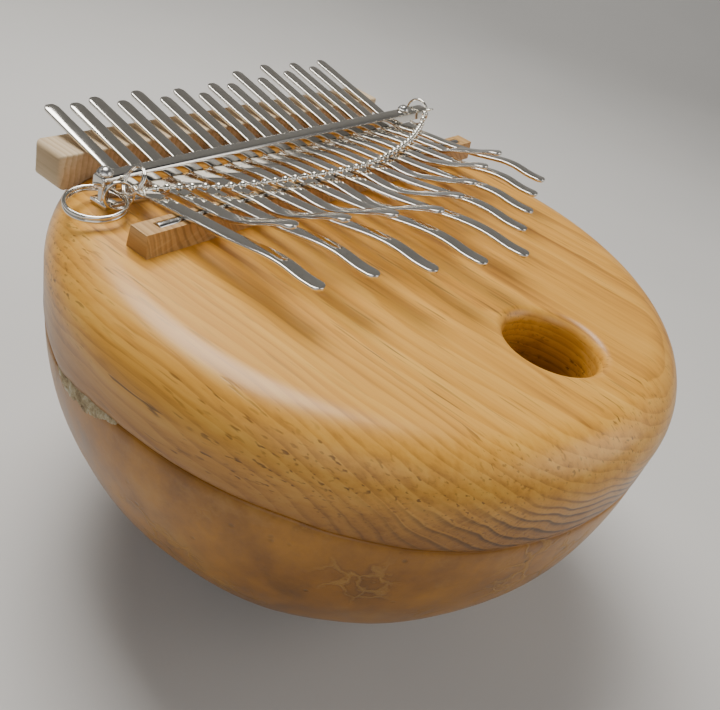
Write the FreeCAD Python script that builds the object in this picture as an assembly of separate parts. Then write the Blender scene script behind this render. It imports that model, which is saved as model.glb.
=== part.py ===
import FreeCAD, Part
import os
import math

os.makedirs("parts", exist_ok=True)
V = FreeCAD.Vector

# ---------------------------------------------------------------- driving dimensions (mm)
H = 122.5              # height of the flat top of the soundboard above the gourd's foot
R_BODY = 103.4         # radius of the round body
EDGE_R = 16.0          # big soft radius round the top edge of the board
Z_EQ = H - 29.5        # widest level of the body
FOOT_R = 18.0          # small flat foot under the gourd
SHELL = 6.0            # gourd wall thickness
SEAM_Z = H - 29.8      # seam level on the middle line
SEAM_SLOPE = 0.02     # the seam drops a little towards the back
BOARD_THK_IN = 23.0    # thickness of the board over the cavity
HOLE_X, HOLE_Y = 1.5, -63.0
HOLE_R = 15.0          # sound hole bore
HOLE_FLARE = 3.4       # rounded lip of the sound hole

N_TINES = 17
PITCH = 8.5
TINE_W = 5.0
TINE_T = 1.2
ARR_X = 8.4            # middle of the row of tines
Y0 = 63.9              # base line of the row: just behind the pressure bar

BAR_Y0, BAR_Y1 = Y0 - 10.6, Y0 - 5.6
BAR_X0, BAR_X1 = -70.8, 96.0
BOLT_XL, BOLT_XR = -68.4, 81.3
BOLT_Y = Y0 - 8.1
BOLT_R = 1.5
BAR_TOP = 10.0         # above the board
TINE_AT_BAR = 5.7      # top of the tines under the bar, above the board
TINE_AT_ROD = 8.5      # top of the tines over the rod
ROD_Y = Y0 - 33.0
ROD_R = 1.5
SPLIT_Y = Y0 - 35.1    # each tine starts to swing just in front of the rod
SPLIT_GAP = 0.3

FB_Y0, FB_Y1 = Y0 - 37.2, Y0 - 28.8      # front bridge
FB_H = 6.9
BB_Y0, BB_Y1 = Y0 + 8.9, Y0 + 21.9       # back bridge
BB_TOP = 7.3
BB_SINK = 4.0                             # let into the board
BB_X0, BB_X1 = ARR_X - 79.0, ARR_X + 79.0
FB_X0, FB_X1 = ARR_X - 85.0, ARR_X + 85.0
TINE_BACK_SLOPE = 0.2

BACK_LEN = [30.8, 29.9, 31.5, 28.0, 31.9, 27.0, 30.1, 26.2, 30.6, 29.1, 35.5, 30.0, 37.3, 31.9, 36.3, 32.6, 36.0]
TIP_Y = [-83.3, -64.4, -88.0, -69.2, -96.1, -74.1, -102.3, -79.6, -106.9, -76.2, -97.2, -71.6, -90.8, -65.6, -83.6, -61.3, -78.0]
TIP_H = [12.9, 19.0, 14.0, 19.3, 15.2, 19.3, 16.2, 19.4, 16.6, 18.8, 15.8, 18.0, 14.9, 18.0, 14.1, 18.2, 13.6]


def save(shape, name):
    if not shape.isValid():
        print("INVALID", name)
    shape.exportStep("parts/%s.step" % name)
    print(name, "%.1f" % shape.Volume, len(shape.Solids))


def box(x0, x1, y0, y1, z0, z1):
    return Part.makeBox(x1 - x0, y1 - y0, z1 - z0, V(x0, y0, z0))


def cyl(x, y, z0, z1, r):
    return Part.makeCylinder(r, z1 - z0, V(x, y, z0), V(0, 0, 1))


def revolve(pts_edges):
    w = Part.Wire(Part.__sortEdges__(pts_edges))
    return Part.Face(w).revolve(V(0, 0, 0), V(0, 0, 1), 360)


def seam_z(y, dz=0.0):
    return SEAM_Z - SEAM_SLOPE * y + dz


def half_space(above, dz=0.0):
    # big block on one side of the slanting seam plane
    a, b = -150.0, 150.0
    far = 400.0 if above else -400.0
    p = [V(0, a, seam_z(a, dz)), V(0, b, seam_z(b, dz)), V(0, b, far), V(0, a, far), V(0, a, seam_z(a, dz))]
    f = Part.Face(Part.makePolygon([q + V(-150, 0, 0) for q in p]))
    return f.extrude(V(300, 0, 0))


# ---------------------------------------------------------------- body profile
def body_r(z, off=0.0):
    # lower half of the gourd, a fat rounded bowl
    u = (Z_EQ - z) / Z_EQ
    u = min(1.0, max(0.0, u))
    return (R_BODY - 0.8) * (1.0 - u ** 2) ** (1.0 / 2.27)


zs = [Z_EQ, 84.0, 70.0, 56.0, 42.0, 30.0, 20.0, 12.0, 6.0, 2.2, 0.0]
outer = [V(body_r(z), 0, z) for z in zs[:-1]] + [V(FOOT_R, 0, 0.0)]
c_out = Part.BSplineCurve()
c_out.interpolate([V(R_BODY - 0.8, 0, Z_EQ + 14)] + outer)
ZI = SHELL
inner = []
for z in zs[:-1]:
    k = (z - 0.0) / Z_EQ
    zz = ZI + (Z_EQ - ZI) * k
    inner.append(V(max(2.0, body_r(z) - SHELL), 0, zz))
c_in = Part.BSplineCurve()
c_in.interpolate([V(R_BODY - 0.8 - SHELL, 0, Z_EQ + 14)] + inner)
p_o0, p_o1 = V(R_BODY - 0.8, 0, Z_EQ + 14), V(FOOT_R, 0, 0.0)
p_i0, p_i1 = V(R_BODY - 0.8 - SHELL, 0, Z_EQ + 14), inner[-1]
edges = [c_out.toShape(), Part.makeLine(p_o1, V(0, 0, 0)), Part.makeLine(V(0, 0, 0), V(0, 0, p_i1.z)),
         Part.makeLine(V(0, 0, p_i1.z), p_i1), c_in.toShape(), Part.makeLine(p_i0, p_o0)]
gourd = revolve(edges)
if gourd.Volume < 0:
    gourd.reverse()
gourd = gourd.cut(half_space(True, -0.05))

# ---------------------------------------------------------------- soundboard
rb = R_BODY
m = EDGE_R * (1 - math.sqrt(0.5))
b_edges = [
    Part.makeLine(V(0, 0, H), V(rb - EDGE_R, 0, H)),
    Part.Arc(V(rb - EDGE_R, 0, H), V(rb - m, 0, H - m), V(rb, 0, H - EDGE_R)).toShape(),
    Part.makeLine(V(rb, 0, H - EDGE_R), V(rb - 0.8, 0, Z_EQ)),
    Part.makeLine(V(rb - 0.8, 0, Z_EQ), V(rb - 0.8, 0, H - 44)),
    Part.makeLine(V(rb - 0.8, 0, H - 44), V(0, 0, H - 44)),
    Part.makeLine(V(0, 0, H - 44), V(0, 0, H)),
]
board = revolve(b_edges)
board = board.cut(half_space(False, 0.0))
# shallow hollow over the cavity
board = board.cut(cyl(0, 0, H - 60, H - BOARD_THK_IN, R_BODY - 13.0))
# flared sound hole
fl = HOLE_FLARE
bore = [
    Part.makeLine(V(0, 0, H - 60), V(HOLE_R, 0, H - 60)),
    Part.makeLine(V(HOLE_R, 0, H - 60), V(HOLE_R, 0, H - fl)),
    Part.Arc(V(HOLE_R, 0, H - fl), V(HOLE_R + fl * (1 - math.sqrt(0.5)), 0, H - fl + fl * math.sqrt(0.5)), V(HOLE_R + fl, 0, H)).toShape(),
    Part.makeLine(V(HOLE_R + fl, 0, H), V(HOLE_R + fl, 0, H + 5)),
    Part.makeLine(V(HOLE_R + fl, 0, H + 5), V(0, 0, H + 5)),
    Part.makeLine(V(0, 0, H + 5), V(0, 0, H - 60)),
]
cutter = revolve(bore)
cutter.translate(V(HOLE_X, HOLE_Y, 0))
board = board.cut(cutter)


# trench for the back bridge
def bridge_back(grow=0.0):
    b = box(BB_X0 - grow, BB_X1 + grow, BB_Y0 - grow, BB_Y1 + grow, H - BB_SINK, H + BB_TOP)
    return b


back = bridge_back()
ends = [e for e in back.Edges if abs(e.Vertexes[0].Z - e.Vertexes[-1].Z) < 1e-6
        and abs(e.Vertexes[0].X - e.Vertexes[-1].X) < 1e-6]
back = back.makeFillet(1.6, ends)
longs = [e for e in back.Edges if abs(e.Vertexes[0].X - e.Vertexes[-1].X) > 100 and e.Vertexes[0].Z > H]
back = back.makeFillet(0.7, longs)
trench = box(BB_X0 - 40, BB_X1 + 40, BB_Y0, BB_Y1, H - BB_SINK, H + 10)
board = board.cut(trench)

# clamp bolts and their holes
HOLE_CL = 1.6
SCREW_DEPTH = 18.0
for bx in (BOLT_XL, BOLT_XR):
    board = board.cut(cyl(bx, BOLT_Y, H - SCREW_DEPTH, H + 5, BOLT_R))
board = board.removeSplitter()
save(gourd, "gourd_bowl")
save(board, "soundboard")
save(back, "back_bridge")

# ---------------------------------------------------------------- front bridge with slanted sides and a groove for the rod
y0, y1 = FB_Y0, FB_Y1
prof = [V(FB_X0, y0, H), V(FB_X0, y1, H), V(FB_X0, y1 - 0.9, H + FB_H), V(FB_X0, y0 + 0.9, H + FB_H), V(FB_X0, y0, H)]
front = Part.Face(Part.makePolygon(prof)).extrude(V(FB_X1 - FB_X0, 0, 0))
ROD_Z = H + 5.84
groove = Part.makeCylinder(ROD_R, (FB_X1 - FB_X0) - 12, V(FB_X0 + 6, ROD_Y, ROD_Z), V(1, 0, 0))
slot = box(FB_X0 + 6, FB_X1 - 6, ROD_Y - ROD_R, ROD_Y + ROD_R, ROD_Z, H + FB_H + 2)
front = front.cut(groove.fuse(slot))
fe = [e for e in front.Edges if abs(e.Vertexes[0].X - e.Vertexes[-1].X) < 1e-6 and
      (abs(e.Vertexes[0].X - FB_X0) < 1e-6 or abs(e.Vertexes[0].X - FB_X1) < 1e-6) and
      max(v.Z for v in e.Vertexes) > H + 1]
front = front.makeFillet(0.8, fe)
rod = Part.makeCylinder(ROD_R, (FB_X1 - FB_X0) - 13, V(FB_X0 + 6.5, ROD_Y, ROD_Z), V(1, 0, 0))
rod = rod.makeChamfer(0.3, [e for e in rod.Edges if len(e.Vertexes) == 1])
save(front, "front_bridge")
save(rod, "bridge_rod")

# ---------------------------------------------------------------- pressure bar, lower bar, bolts
bar = box(BAR_X0, BAR_X1, BAR_Y0, BAR_Y1, H + TINE_AT_BAR + 0.06, H + BAR_TOP)
be = [e for e in bar.Edges if abs(e.Vertexes[0].X - e.Vertexes[-1].X) > 100 and e.Vertexes[0].Z > H + 8]
bar = bar.makeFillet(1.3, be)
ve = [e for e in bar.Edges if abs(e.Vertexes[0].Z - e.Vertexes[-1].Z) > 2.5 and abs(e.Vertexes[0].X - e.Vertexes[-1].X) < 1e-6
      and abs(e.Vertexes[0].Y - e.Vertexes[-1].Y) < 1e-6]
bar = bar.makeFillet(1.0, ve)
low = box(BAR_X0 + 0.6, BAR_X1 - 0.6, Y0 - 11.6, Y0 - 4.4, H, H + 1.6)
le = [e for e in low.Edges if abs(e.Vertexes[0].Z - e.Vertexes[-1].Z) > 1.5]
low = low.makeFillet(2.5, le)
te = [e for e in low.Edges if e.Vertexes[0].Z > H + 1.5 and e.Vertexes[-1].Z > H + 1.5]
low = low.makeFillet(0.5, te)
for bx in (BOLT_XL, BOLT_XR):
    bar = bar.cut(cyl(bx, BOLT_Y, H - 60, H + 15, HOLE_CL))
    low = low.cut(cyl(bx, BOLT_Y, H - 60, H + 15, HOLE_CL))
save(bar, "pressure_bar")
save(low, "lower_bar")


def screw(bx):
    # domed clamp screw through both bars into the board
    zt = H + BAR_TOP + WASHER_T
    shank = cyl(bx, BOLT_Y, H - SCREW_DEPTH, zt, BOLT_R)
    head_r, head_h = 2.3, 1.5
    R = (head_r ** 2 + head_h ** 2) / (2 * head_h)
    dome = Part.makeSphere(R, V(bx, BOLT_Y, zt + head_h - R)).common(box(bx - 5, bx + 5, BOLT_Y - 5, BOLT_Y + 5, zt, zt + 5))
    s = shank.fuse(dome).removeSplitter()
    return s.cut(box(bx - 3, bx + 3, BOLT_Y - 0.35, BOLT_Y + 0.35, zt + 0.8, zt + 5))


def washer(bx):
    z = H + BAR_TOP
    return cyl(bx, BOLT_Y, z, z + WASHER_T, 2.45).cut(cyl(bx, BOLT_Y, z - 1, z + 4, HOLE_CL))


WASHER_T = 0.6
save(Part.makeCompound([screw(BOLT_XL), screw(BOLT_XR)]), "clamp_screws")
save(Part.makeCompound([washer(BOLT_XL), washer(BOLT_XR)]), "clamp_washers")


# ---------------------------------------------------------------- tines
def tine_profile(i):
    # points (y, height of the top face above the board), from the back end to the playing tip
    k = (TINE_AT_ROD - TINE_AT_BAR) / 25.0
    yb = BACK_LEN[i]
    pts = [(yb, 6.9 + TINE_BACK_SLOPE * yb), (18.0, 6.9 + 0.2 * 18.0), (8.0, 6.9 + 0.2 * 8.0), (0.0, 6.85),
           (-5.6, TINE_AT_BAR + 0.05), (-8.1, TINE_AT_BAR), (-10.6, TINE_AT_BAR + 0.04), (-18.0, TINE_AT_BAR + k * 9.9), (-32.0, TINE_AT_ROD - 0.05), (-36.0, TINE_AT_ROD + 0.4)]
    y, h = TIP_Y[i], TIP_H[i]
    if i % 2 == 0:
        # long tine: nearly straight, with a slight drop just before the tip
        ya, ha = y + 12.0, h + 0.15
        mid = (-36.0 + ya) / 2
        pts += [(mid, (TINE_AT_ROD + 0.4 + ha) / 2), (ya, ha), (y + 7.5, h - 0.25), (y, h)]
    else:
        # raised tine: runs level, then ramps up between its neighbours
        pts += [(min(y + 25.5, -39.0), 9.2), (y + 19.3, 10.8), (y + 9.0, h - 3.3), (y + 3.0, h - 0.7), (y, h)]
    return pts


def tine(i):
    pts = tine_profile(i)
    x = ARR_X + (i - 8) * PITCH - TINE_W / 2
    top = [V(x, Y0 + y, H + h) for y, h in pts]
    bot = [V(x, Y0 + y, H + h - TINE_T) for y, h in pts]
    a = Part.BSplineCurve()
    a.interpolate(top)
    b = Part.BSplineCurve()
    b.interpolate(bot)
    w = Part.Wire([a.toShape(), Part.makeLine(top[-1], bot[-1]), b.toShape(), Part.makeLine(bot[0], top[0])])
    s = Part.Face(w).extrude(V(TINE_W, 0, 0))
    # rounded ends in plan
    r = TINE_W / 2 - 0.02
    ya, yb = Y0 + pts[-1][0], Y0 + pts[0][0]
    plan = box(x - 1, x + TINE_W + 1, ya + r, yb - r, H - 5, H + 40)
    plan = plan.fuse(cyl(x + TINE_W / 2, ya + r, H - 5, H + 40, TINE_W / 2)).fuse(cyl(x + TINE_W / 2, yb - r, H - 5, H + 40, TINE_W / 2))
    s = s.common(plan)
    fixed = s.common(box(x - 2, x + 8, SPLIT_Y, 140, H - 5, H + 60))
    reed = s.common(box(x - 2, x + 8, -140, SPLIT_Y - SPLIT_GAP, H - 5, H + 60))
    return fixed, reed


for i in range(N_TINES):
    fixed, reed = tine(i)
    save(fixed, "tine_%02d_clamped" % (i + 1))
    save(reed, "tine_%02d_reed" % (i + 1))


# ---------------------------------------------------------------- rings
def torus(c, n, R, r, flat=None):
    # ring of round wire; flat = (half width, half height) gives a soft rectangular wire
    if flat is None:
        t = Part.makeTorus(R, r)
    else:
        a, b = flat
        rect = Part.makePolygon([V(R - a, 0, -b), V(R + a, 0, -b), V(R + a, 0, -0.12), V(R + a - 0.25, 0, 0), V(R + a, 0, 0.12), V(R + a, 0, b),
                                 V(R - a, 0, b), V(R - a, 0, -b)])
        t = Part.Face(rect).revolve(V(0, 0, 0), V(0, 0, 1), 360)
        es = [e for e in t.Edges if abs(e.BoundBox.ZMax - e.BoundBox.ZMin) < 1e-6 and abs(abs(e.BoundBox.ZMax) - b) < 1e-3]
        t = t.makeFillet(min(a, b) * 0.6, es)
    t.Placement = FreeCAD.Placement(V(*c), FreeCAD.Rotation(V(0, 0, 1), V(*n)))
    return t


RING1_C, RING1_N = (-73.1, Y0 - 11.0, H + 3.0), (-0.10, 0.0, 0.995)
RING2_C, RING2_N = (-67.1, Y0 - 13.2, H + 5.2), (0.34, 0.94, 0.0)
RING3_C, RING3_N = (-64.4, Y0 - 15.6, H + 10.6), (-0.81, 0.29, 0.5)
ring1 = torus(RING1_C, RING1_N, 8.6, 0.7, (0.6, 1.1))
ring2 = torus(RING2_C, RING2_N, 4.3, 0.5)
ring3 = torus(RING3_C, RING3_N, 4.4, 0.5)
save(ring1, "ring_large")
save(ring2, "ring_medium")
save(ring3, "ring_small")


# ring threaded on the far end of the pressure bar
RING4_C, RING4_N = (92.6, Y0 - 8.1, H + 7.85), (1.0, 0.0, 0.0)
save(torus(RING4_C, RING4_N, 5.0, 0.5), "ring_end")

# ---------------------------------------------------------------- rattle chain: one row of small beads laid over the tines
BEAD_R, BEAD_STEP, PIN_R = 1.2, 4.0, 0.42
CHAIN_GAP = 0.75


def tine_top(y):
    k = (TINE_AT_ROD - TINE_AT_BAR) / 25.0
    return TINE_AT_BAR + k * max(0.0, -8.1 - y)


path_xy = [(-60.3, -20.6), (-46.5, -27.1), (-34.5, -30.7), (-18.2, -33.9), (-2.8, -36.1), (10.2, -37.0), (24.4, -35.6),
           (36.9, -32.8), (52.6, -28.2), (66.3, -22.4), (76.5, -17.6)]
LOOP_A, LOOP_A_N = V(-65.4, Y0 - 19.5, H + 9.57), V(0.40, -0.33, 0.85)
LOOP_B, LOOP_B_N = V(92.6, Y0 - 8.1 - 5.6 * 0.866, H + 7.85 + 5.6 * 0.5), V(0.0, 0.5, 0.866)
pv = [V(-60.0, Y0 - 19.9, H + 9.3)]
for px, py in path_xy:
    pv.append(V(px + 5.9, Y0 + py, H + tine_top(py) + BEAD_R + CHAIN_GAP))
pv.append(V(88.0, Y0 - 14.4, H + 10.3))
spine = Part.BSplineCurve()
spine.interpolate(pv)
L = spine.length()
n = int(round(L / BEAD_STEP))
u0 = spine.FirstParameter
beads = [spine.value(spine.parameterAtDistance(L * k / n, u0)) if k else pv[0] for k in range(n + 1)]
pieces = [Part.makeSphere(BEAD_R, b) for b in beads]
for p, q in zip(beads[:-1], beads[1:]):
    d = q - p
    d.normalize()
    pieces.append(Part.makeCylinder(PIN_R, (q - p).Length - 2 * BEAD_R, p + d * BEAD_R, d))
# end loops with short shanks
for c, nrm, R, b in ((LOOP_A, LOOP_A_N, 1.9, beads[0]), (LOOP_B, LOOP_B_N, 1.9, beads[-1])):
    d = b - c
    d.normalize()
    pieces.append(torus(c, nrm, R, PIN_R))
    pieces.append(Part.makeCylinder(PIN_R * 0.9, (b - c).Length - BEAD_R - R - PIN_R, b - d * BEAD_R, d * -1))
chain = Part.makeCompound(pieces)
save(chain, "rattle_chain")
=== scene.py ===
import math
import bpy
import numpy as np
from mathutils import Matrix, Vector, noise


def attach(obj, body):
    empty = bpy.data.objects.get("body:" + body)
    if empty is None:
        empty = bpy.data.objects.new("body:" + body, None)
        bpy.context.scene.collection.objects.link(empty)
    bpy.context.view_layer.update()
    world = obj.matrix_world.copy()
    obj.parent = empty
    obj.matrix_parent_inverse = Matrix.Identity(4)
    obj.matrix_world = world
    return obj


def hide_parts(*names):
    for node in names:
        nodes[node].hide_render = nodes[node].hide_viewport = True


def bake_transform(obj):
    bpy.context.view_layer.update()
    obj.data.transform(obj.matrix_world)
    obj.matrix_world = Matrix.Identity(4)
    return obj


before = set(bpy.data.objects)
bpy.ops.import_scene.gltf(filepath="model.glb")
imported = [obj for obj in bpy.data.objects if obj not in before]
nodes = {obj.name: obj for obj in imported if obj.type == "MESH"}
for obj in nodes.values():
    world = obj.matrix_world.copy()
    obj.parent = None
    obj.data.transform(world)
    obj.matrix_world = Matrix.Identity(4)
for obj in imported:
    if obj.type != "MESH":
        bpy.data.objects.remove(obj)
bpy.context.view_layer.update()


MM = 0.001
H = 0.1225
Y0 = 0.0639
ARR_X = 0.0084
PITCH = 0.0085

# =============================================================== materials


class Mat:
    """Small helper round a node tree."""

    def __init__(self, name):
        self.m = bpy.data.materials.new(name)
        self.m.use_nodes = True
        self.t = self.m.node_tree
        self.b = self.t.nodes["Principled BSDF"]
        self.co = self.t.nodes.new("ShaderNodeTexCoord").outputs["Object"]

    def n(self, kind, **inputs):
        node = self.t.nodes.new(kind)
        for k, v in inputs.items():
            if hasattr(node, k):
                setattr(node, k, v)
        return node

    def link(self, a, b):
        self.t.links.new(a, b)

    def put(self, sock, v):
        if isinstance(v, bpy.types.NodeSocket):
            self.link(v, sock)
        else:
            sock.default_value = v

    def mapping(self, scale=(1, 1, 1), rot=(0, 0, 0), loc=(0, 0, 0), src=None):
        m = self.t.nodes.new("ShaderNodeMapping")
        m.inputs["Scale"].default_value = scale
        m.inputs["Rotation"].default_value = rot
        m.inputs["Location"].default_value = loc
        self.link(src or self.co, m.inputs["Vector"])
        return m.outputs["Vector"]

    def noise(self, vec, scale, detail=3.0, rough=0.5, dist=0.0):
        x = self.t.nodes.new("ShaderNodeTexNoise")
        self.link(vec, x.inputs["Vector"])
        x.inputs["Scale"].default_value = scale
        x.inputs["Detail"].default_value = detail
        x.inputs["Roughness"].default_value = rough
        x.inputs["Distortion"].default_value = dist
        return x.outputs["Fac"]

    def voronoi(self, vec, scale, feature="F1", rand=1.0):
        x = self.t.nodes.new("ShaderNodeTexVoronoi")
        x.feature = feature
        self.link(vec, x.inputs["Vector"])
        x.inputs["Scale"].default_value = scale
        x.inputs["Randomness"].default_value = rand
        return x.outputs["Distance"]

    def math(self, op, a, b=0.0, c=0.0, clamp=False):
        x = self.t.nodes.new("ShaderNodeMath")
        x.operation = op
        x.use_clamp = clamp
        self.put(x.inputs[0], a)
        self.put(x.inputs[1], b)
        if op in ("MULTIPLY_ADD", "WRAP"):
            self.put(x.inputs[2], c)
        return x.outputs[0]

    def ramp(self, v, stops, smooth=False):
        x = self.t.nodes.new("ShaderNodeValToRGB")
        cr = x.color_ramp
        if smooth:
            cr.interpolation = "EASE"
        while len(cr.elements) < len(stops):
            cr.elements.new(0.5)
        for e, (p, c) in zip(cr.elements, stops):
            e.position = p
            e.color = (c, c, c, 1) if isinstance(c, (int, float)) else (*c, 1)
        self.link(v, x.inputs["Fac"])
        return x.outputs["Color"]

    def mix(self, fac, a, b, mode="MIX"):
        x = self.t.nodes.new("ShaderNodeMix")
        x.data_type = "RGBA"
        x.blend_type = mode
        self.put(x.inputs[0], fac)
        for s, v in ((x.inputs[6], a), (x.inputs[7], b)):
            if isinstance(v, bpy.types.NodeSocket):
                self.link(v, s)
            else:
                s.default_value = (*v, 1) if len(v) == 3 else v
        return x.outputs[2]

    def sep(self, src=None):
        x = self.t.nodes.new("ShaderNodeSeparateXYZ")
        self.link(src or self.co, x.inputs[0])
        return x.outputs

    def comb(self, x_, y_, z_):
        x = self.t.nodes.new("ShaderNodeCombineXYZ")
        for i, v in enumerate((x_, y_, z_)):
            self.put(x.inputs[i], v)
        return x.outputs[0]

    def normal(self):
        return self.t.nodes.new("ShaderNodeTexCoord").outputs["Normal"]

    def bump(self, h, strength=0.3, dist=0.0002, under=None):
        x = self.t.nodes.new("ShaderNodeBump")
        x.inputs["Strength"].default_value = strength
        x.inputs["Distance"].default_value = dist
        self.put(x.inputs["Height"], h)
        if under is not None:
            self.link(under, x.inputs["Normal"])
        return x.outputs["Normal"]

    def out(self, color=None, rough=None, metal=None, normal=None, coat=None, coat_rough=None, spec=None):
        i = self.b.inputs
        if color is not None:
            self.put(i["Base Color"], color if isinstance(color, bpy.types.NodeSocket) else (*color, 1))
        if rough is not None:
            self.put(i["Roughness"], rough)
        if metal is not None:
            i["Metallic"].default_value = metal
        if normal is not None:
            self.link(normal, i["Normal"])
        if coat is not None:
            i["Coat Weight"].default_value = coat
        if coat_rough is not None:
            i["Coat Roughness"].default_value = coat_rough
        if spec is not None:
            i["Specular IOR Level"].default_value = spec
        return self.m


def srgb(r, g, b):
    f = lambda c: (c / 255 / 12.92) if c / 255 <= 0.04045 else ((c / 255 + 0.055) / 1.055) ** 2.4
    return (f(r), f(g), f(b))


def wood(name, light, mid, dark, pith, ring=0.0042, fine=1.0, coat=0.35, rough=0.34, pore=0.55, endgrain=0.0, shade=None, figure=0.26, end_z=None):
    w = Mat(name)
    x, y, z = w.sep()[:3]
    # slow wander of the grain
    nz = w.noise(w.mapping(scale=(14, 5, 14)), 1.0, 3, 0.5)
    nz2 = w.noise(w.mapping(scale=(40, 9, 40), loc=(3, 1, 2)), 1.0, 3, 0.55)
    wob = w.math("MULTIPLY_ADD", w.math("SUBTRACT", nz, 0.5), 0.026, w.math("MULTIPLY", w.math("SUBTRACT", nz2, 0.5), 0.006))
    dx = w.math("ADD", w.math("SUBTRACT", x, pith[0]), wob)
    dz = w.math("ADD", w.math("SUBTRACT", z, pith[1]), w.math("MULTIPLY", wob, 0.6))
    d = w.math("SQRT", w.math("ADD", w.math("MULTIPLY", dx, dx), w.math("MULTIPLY", dz, dz)))
    ph = w.math("MULTIPLY", d, 1.0 / ring)
    fr = w.math("FRACT", ph)
    band = w.ramp(fr, [(0.0, 0.05), (0.45, 0.35), (0.8, 0.85), (0.93, 1.0), (1.0, 0.05)])
    # long fibres
    fib = w.noise(w.mapping(scale=(520 * fine, 16, 520 * fine)), 1.0, 4, 0.62)
    fib2 = w.noise(w.mapping(scale=(160 * fine, 7, 160 * fine), loc=(1, 5, 2)), 1.0, 3, 0.5)
    broad = w.noise(w.mapping(scale=(22, 4, 22), loc=(7, 3, 1)), 1.0, 2, 0.5)
    v = w.math("MULTIPLY_ADD", band, figure, w.math("MULTIPLY", fib, 0.42))
    v = w.math("ADD", v, w.math("MULTIPLY", fib2, 0.38))
    v = w.math("ADD", v, w.math("MULTIPLY", broad, 0.32))
    col = w.ramp(v, [(0.36, light), (0.66, mid), (0.98, dark)])
    # pores: short dark dashes along the grain, gathered in the early wood
    cell = w.noise(w.mapping(scale=(1150, 62, 1150), loc=(2, 2, 9)), 1.0, 1, 0.4)
    thin = w.ramp(cell, [(0.60, 0.0), (0.70, 1.0)])
    gate = w.ramp(w.noise(w.mapping(scale=(60, 14, 60), loc=(4, 8, 1)), 1.0, 2, 0.5), [(0.40, 0.15), (0.62, 1.0)])
    early = w.ramp(fr, [(0.0, 1.0), (0.35, 0.55), (0.7, 0.25), (1.0, 0.9)])
    pores = w.math("MULTIPLY", w.math("MULTIPLY", thin, gate), early)
    col = w.mix(w.math("MULTIPLY", pores, pore), col, tuple(c * 0.36 for c in dark))
    height = w.math("SUBTRACT", w.math("MULTIPLY", fib, 0.25), w.math("MULTIPLY", pores, 0.8))
    nrm_y = w.math("ABSOLUTE", w.sep(w.normal())[1])
    if endgrain > 0:
        # cut ends: crowded growth rings, rays crossing them, darker and rougher
        m = w.ramp(nrm_y, [(0.45, 0.0), (0.86, 1.0)])
        if end_z is not None:
            gz = w.math("DIVIDE", w.math("SUBTRACT", end_z, z), 0.008, clamp=True)
            m = w.math("MULTIPLY", m, gz)
        ph2 = w.math("MULTIPLY", d, 1.0 / (ring * 0.92))
        fr2 = w.math("FRACT", ph2)
        ring2 = w.ramp(fr2, [(0.0, 1.0), (0.12, 0.9), (0.36, 0.15), (0.88, 0.0), (1.0, 1.0)])
        ang = w.math("ARCTAN2", dx, dz)
        ray = w.noise(w.comb(w.math("MULTIPLY", ang, 260.0), w.math("MULTIPLY", d, 60.0), 0.0), 1.0, 2, 0.5)
        rays = w.ramp(ray, [(0.56, 0.0), (0.66, 1.0)])
        dots = w.ramp(w.voronoi(w.mapping(scale=(1, 0.15, 1)), 950.0), [(0.10, 1.0), (0.34, 0.0)])
        e = w.math("MULTIPLY", w.math("MAXIMUM", w.math("MULTIPLY", ring2, 0.9), w.math("MULTIPLY", dots, 0.5)), m)
        col = w.mix(w.math("MULTIPLY", m, 0.42), col, mid)
        col = w.mix(w.math("MULTIPLY", e, endgrain), col, tuple(c * 0.30 for c in dark))
        col = w.mix(w.math("MULTIPLY", w.math("MULTIPLY", rays, m), 0.25), col, light)
        height = w.math("SUBTRACT", height, w.math("MULTIPLY", e, 1.6))
    # painted shade: below z=hi the wood is multiplied by a dark tint, strongest at z=lo, for the shade on the board's
    # side under its rounded top edge
    if shade is not None:
        lo, hi, shade_tint = shade
        g = w.math("DIVIDE", w.math("SUBTRACT", z, lo), hi - lo, clamp=True)
        g = w.ramp(g, [(0.0, 1.0), (1.0, 0.0)], smooth=True)
        col = w.mix(w.math("MULTIPLY", g, 0.85), col, shade_tint, mode="MULTIPLY")
    rr = w.math("MULTIPLY_ADD", fib2, 0.16, rough - 0.08)
    return w.out(color=col, rough=rr, normal=w.bump(height, 0.35, 0.00016), coat=coat, coat_rough=0.22, spec=0.45)


def metal(name, tone, rough=0.07, scratch=0.25, smear=0.10, wave=0.0, brush=(60, 900, 900)):
    w = Mat(name)
    s1 = w.noise(w.mapping(scale=brush), 1.0, 3, 0.6)
    s2 = w.noise(w.mapping(scale=(90, 90, 90), loc=(3, 1, 4)), 1.0, 4, 0.6)
    spots = w.ramp(w.noise(w.mapping(scale=(700, 700, 700), loc=(9, 2, 2)), 1.0, 2, 0.5), [(0.68, 0.0), (0.76, 1.0)])
    r = w.math("MULTIPLY_ADD", w.ramp(s2, [(0.35, 0.0), (0.75, 1.0)]), smear, rough)
    r = w.math("ADD", r, w.math("MULTIPLY", spots, 0.16))
    col = w.mix(w.math("MULTIPLY", w.ramp(s2, [(0.4, 0.0), (0.8, 1.0)]), 0.5), tone, tuple(c * 0.78 for c in tone))
    col = w.mix(w.math("MULTIPLY", spots, 0.35), col, tuple(c * 0.5 for c in tone))
    n = w.bump(s1, scratch, 0.00002)
    if wave:
        n = w.bump(w.noise(w.mapping(scale=(120, 55, 120)), 1.0, 1, 0.4), wave, 0.0004, under=n)
    return w.out(color=col, rough=r, metal=1.0, normal=n)


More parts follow.
